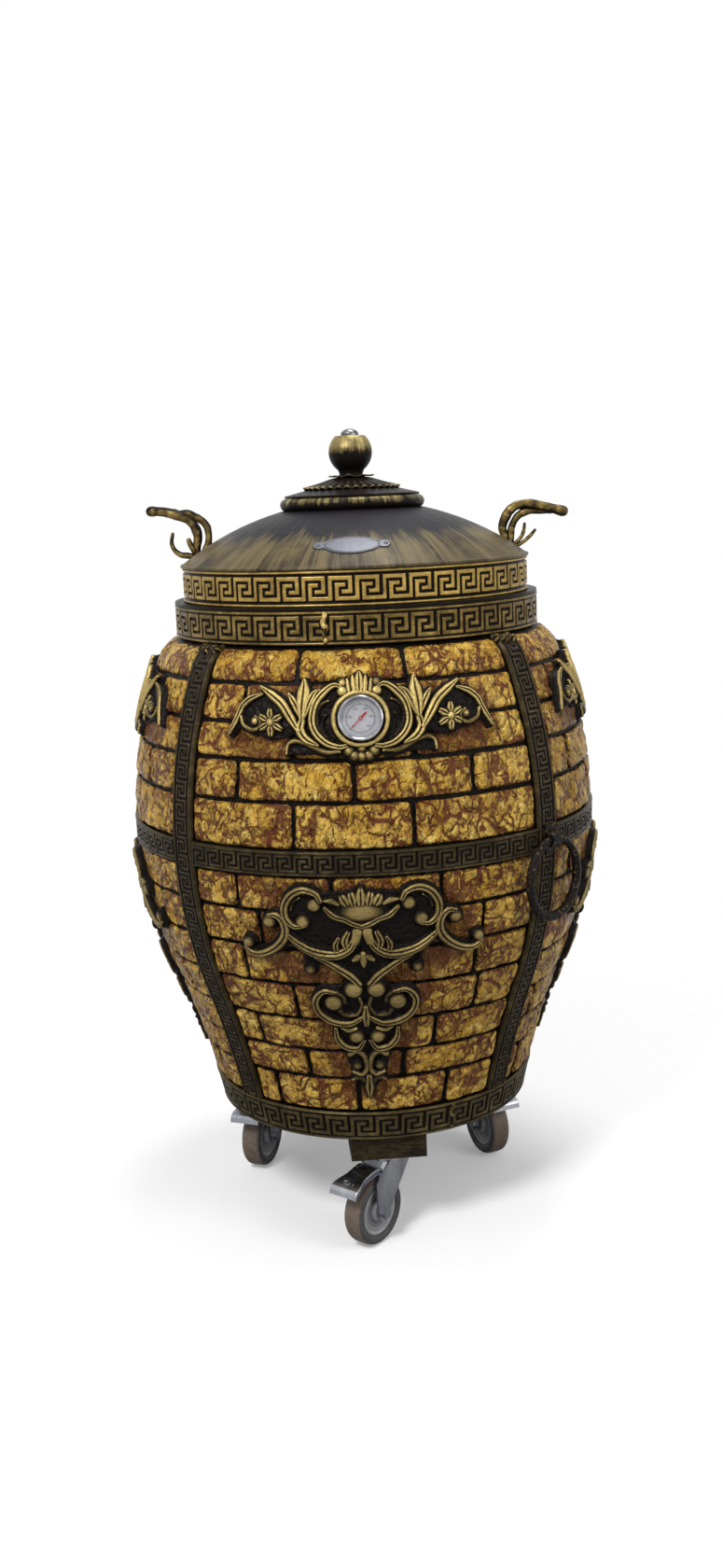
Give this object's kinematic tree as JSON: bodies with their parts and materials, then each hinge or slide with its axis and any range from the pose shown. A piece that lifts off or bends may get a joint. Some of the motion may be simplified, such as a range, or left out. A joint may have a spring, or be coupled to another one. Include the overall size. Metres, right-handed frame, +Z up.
{
  "type": "clay tandoor oven",
  "caption": "Barrel-shaped clay tandoor oven with an insulated brick-faced wall, Greek key bands, domed lid with vent cap, thermometer and locking casters.",
  "frame": {"origin": "centre of the base at floor level", "axes": "+Z up, the thermometer's side faces -Y, +X is to the right seen from the front"},
  "size_m": [0.6946, 0.6887, 1.1503],
  "materials": {
    "fired_clay": "matte, fired and slightly sooted",
    "insulation": "loose mineral grain, stands for light perlite",
    "black_cement": "gloss black painted mortar",
    "ochre_brick": "crumpled relief, painted ochre and gold with dark veins",
    "bronze_band": "antique bronze brushed over black",
    "gold_band": "antique gold brushed over black",
    "black_steel": "black enamel",
    "carved_gold": "cast relief, antique gold over dark recesses",
    "zinc": "bright zinc plate",
    "grate_iron": "raw cast iron",
    "chrome_trim": "polished",
    "dial_white": "white printed dial",
    "gauge_glass": "clear",
    "red_paint": "red enamel",
    "dark_bronze": "dark bronze over black",
    "dome_bronze": "gloss black blending to bronze strokes",
    "cap_bronze": "gold brushed over black",
    "liner_clay": "cast fireproof lining",
    "hub_grey": "light grey moulding",
    "tread_rubber": "brown grey tread"
  },
  "bodies": {
    "oven": {"clay_pot": "fired_clay", "hearth_bricks": "fired_clay", "hearth_floor": "fired_clay", "insulation_fill": "insulation", "outer_shell": "black_cement", "brick_facing": "ochre_brick", "base_plate": "black_steel", "base_hoop": "bronze_band", "belly_band": "bronze_band", "vertical_straps": "bronze_band", "neck_collar": "gold_band", "rim_plate": "black_steel", "upper_ornaments": "carved_gold", "lower_ornaments": "carved_gold", "caster_pads": "dark_bronze", "pad_bolts": "zinc", "fire_grate": "grate_iron", "air_duct": "black_steel", "door_frame": "black_steel", "door_hinge_pin": "zinc", "gauge_socket": "zinc", "gauge_case": "chrome_trim", "gauge_bezel": "chrome_trim", "gauge_dial": "dial_white", "gauge_glass": "gauge_glass", "gauge_probe": "zinc", "ring_brackets": "dark_bronze"},
    "lid": {"lid_dome": "dome_bronze", "lid_band": "gold_band", "lid_liner": "liner_clay", "vent_sleeve": "black_steel", "vent_collar": "black_steel", "lid_handle_left": "cap_bronze", "lid_handle_right": "cap_bronze"},
    "vent_cap": {"vent_cap_disc": "cap_bronze", "vent_rosette": "cap_bronze", "star_washer": "cap_bronze", "ball_knob": "cap_bronze", "cap_nut": "chrome_trim", "cap_stud": "zinc"},
    "door_leaf": {"ash_door": "black_steel", "door_knob": "chrome_trim"},
    "pointer": {"gauge_pointer": "red_paint"},
    "ring_front": {"ring_handle_front": "dark_bronze"},
    "ring_rear": {"ring_handle_rear": "dark_bronze"},
    "swivel_front": {"caster_fork_front": "zinc", "caster_axle_front": "zinc"},
    "wheel_front": {"caster_hub_front": "hub_grey", "caster_tyre_front": "tread_rubber"},
    "pedal_front": {"caster_pedal_front": "zinc"},
    "swivel_right": {"caster_fork_right": "zinc", "caster_axle_right": "zinc"},
    "wheel_right": {"caster_hub_right": "hub_grey", "caster_tyre_right": "tread_rubber"},
    "pedal_right": {"caster_pedal_right": "zinc"},
    "swivel_left": {"caster_fork_left": "zinc", "caster_axle_left": "zinc"},
    "wheel_left": {"caster_hub_left": "hub_grey", "caster_tyre_left": "tread_rubber"},
    "pedal_left": {"caster_pedal_left": "zinc"}
  },
  "joints": [
    {"name": "lid_lift", "type": "slide", "parent": "oven", "child": "lid", "axis": [0, 0, 1], "range_m": [0, 0.25]},
    {"name": "vent_cap_lift", "type": "slide", "parent": "lid", "child": "vent_cap", "axis": [0, 0, 1], "range_m": [0, 0.1]},
    {"name": "air_door_hinge", "type": "hinge", "parent": "oven", "child": "door_leaf", "pos_m": [0.071, 0.2871, 0.279], "axis": [0, 0, -1], "range_deg": [0, 110]},
    {"name": "gauge_needle", "type": "hinge", "parent": "oven", "child": "pointer", "pos_m": [0, -0.32409, 0.77688], "axis": [0, -0.9575, 0.2883], "range_deg": [-270, 5]},
    {"name": "ring_front_swing", "type": "hinge", "parent": "oven", "child": "ring_front", "pos_m": [0.25561, -0.23836, 0.589], "axis": [-0.682, -0.7314, 0], "range_deg": [-5, 110]},
    {"name": "ring_rear_swing", "type": "hinge", "parent": "oven", "child": "ring_rear", "pos_m": [-0.25561, 0.23836, 0.589], "axis": [0.682, 0.7314, 0], "range_deg": [-5, 110]},
    {"name": "swivel_front_turn", "type": "hinge", "parent": "oven", "child": "swivel_front", "pos_m": [0.01506, -0.19141, 0.124], "axis": [0, 0, 1], "continuous": true},
    {"name": "wheel_front_spin", "type": "hinge", "parent": "swivel_front", "child": "wheel_front", "pos_m": [-0.00885, -0.22094, 0.05], "axis": [0.7771, -0.6293, 0], "continuous": true},
    {"name": "brake_front_press", "type": "hinge", "parent": "swivel_front", "child": "pedal_front", "pos_m": [-0.01011, -0.22249, 0.107], "axis": [0.7771, -0.6293, 0], "range_deg": [0, 15]},
    {"name": "swivel_right_turn", "type": "hinge", "parent": "oven", "child": "swivel_right", "pos_m": [0.16458, 0.09889, 0.124], "axis": [0, 0, 1], "continuous": true},
    {"name": "wheel_right_spin", "type": "hinge", "parent": "swivel_right", "child": "wheel_right", "pos_m": [0.18003, 0.06417, 0.05], "axis": [0.9135, 0.4067, 0], "continuous": true},
    {"name": "brake_right_press", "type": "hinge", "parent": "swivel_right", "child": "pedal_right", "pos_m": [0.18085, 0.06234, 0.107], "axis": [0.9135, 0.4067, 0], "range_deg": [0, 15]},
    {"name": "swivel_left_turn", "type": "hinge", "parent": "oven", "child": "swivel_left", "pos_m": [-0.17107, 0.08717, 0.124], "axis": [0, 0, 1], "continuous": true},
    {"name": "wheel_left_spin", "type": "hinge", "parent": "swivel_left", "child": "wheel_left", "pos_m": [-0.18407, 0.05146, 0.05], "axis": [0.9397, -0.342, 0], "continuous": true},
    {"name": "brake_left_press", "type": "hinge", "parent": "swivel_left", "child": "pedal_left", "pos_m": [-0.18475, 0.04958, 0.107], "axis": [0.9397, -0.342, 0], "range_deg": [0, 15]}
  ]
}
